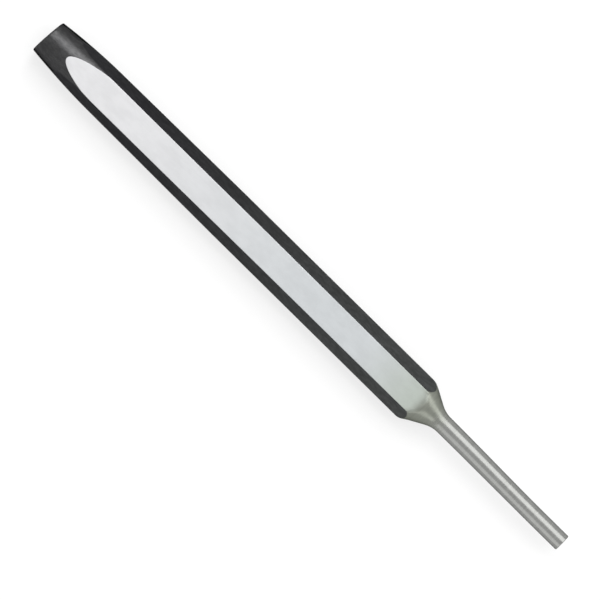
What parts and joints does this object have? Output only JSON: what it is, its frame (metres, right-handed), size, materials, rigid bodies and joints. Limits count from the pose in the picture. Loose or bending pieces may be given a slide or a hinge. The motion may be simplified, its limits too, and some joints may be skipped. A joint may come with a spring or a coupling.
{
  "type": "pin punch",
  "caption": "One-piece pin punch: crowned struck end, blackened hexagonal shank with one side ground flat, and a conical neck that runs into a slim bright pin.",
  "frame": {"origin": "centre of the flat face at the tip of the pin, on the tool's axis", "axes": "+X along the tool from the struck end to the tip, +Z out of the ground flat on the upper side, +Y across the shank; the tool lies on the hexagon's lower flat"},
  "size_m": [0.125, 0.009, 0.008],
  "materials": {
    "steel": "hardened steel, satin black oxide on the struck end and the shank, with the upper flat, the neck and the pin ground bright"
  },
  "bodies": {
    "root": {"punch": "steel"}
  },
  "joints": []
}
